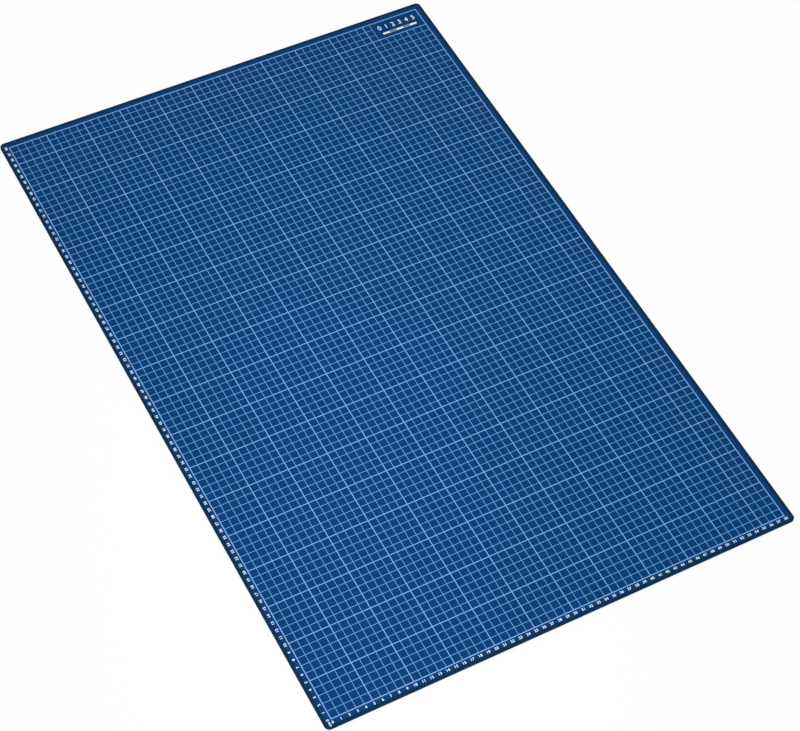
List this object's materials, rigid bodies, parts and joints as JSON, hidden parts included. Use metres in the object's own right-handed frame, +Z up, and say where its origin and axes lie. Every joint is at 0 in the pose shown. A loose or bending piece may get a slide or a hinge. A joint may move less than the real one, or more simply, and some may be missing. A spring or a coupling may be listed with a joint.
{
  "type": "self-healing cutting mat",
  "caption": "Flat rectangular self-healing cutting mat with rounded corners: a thin bonded vinyl laminate under a printed centimetre grid with scales on two edges.",
  "frame": {"origin": "centre of the underside, at the height of the bench it lies on", "axes": "+X across the short side, +Y along the long side, +Z up out of the printed face; both printed scales start at the corner at -X, -Y"},
  "size_m": [0.6, 0.9, 0.0031],
  "materials": {
    "face_vinyl": "fine matt grain, blue",
    "back_vinyl": "fine matt grain, blue",
    "healing_vinyl": "soft matt cut edge, blue",
    "core_vinyl": "matt cut edge, grey blue",
    "printed_ink": "matt screen-printed ink, pale blue white"
  },
  "bodies": {
    "root": {"back_sheet": "back_vinyl", "lower_healing_ply": "healing_vinyl", "core_sheet": "core_vinyl", "upper_healing_ply": "healing_vinyl", "face_sheet": "face_vinyl", "printed_lengthways_lines": "printed_ink", "printed_crossways_lines": "printed_ink"}
  },
  "joints": []
}
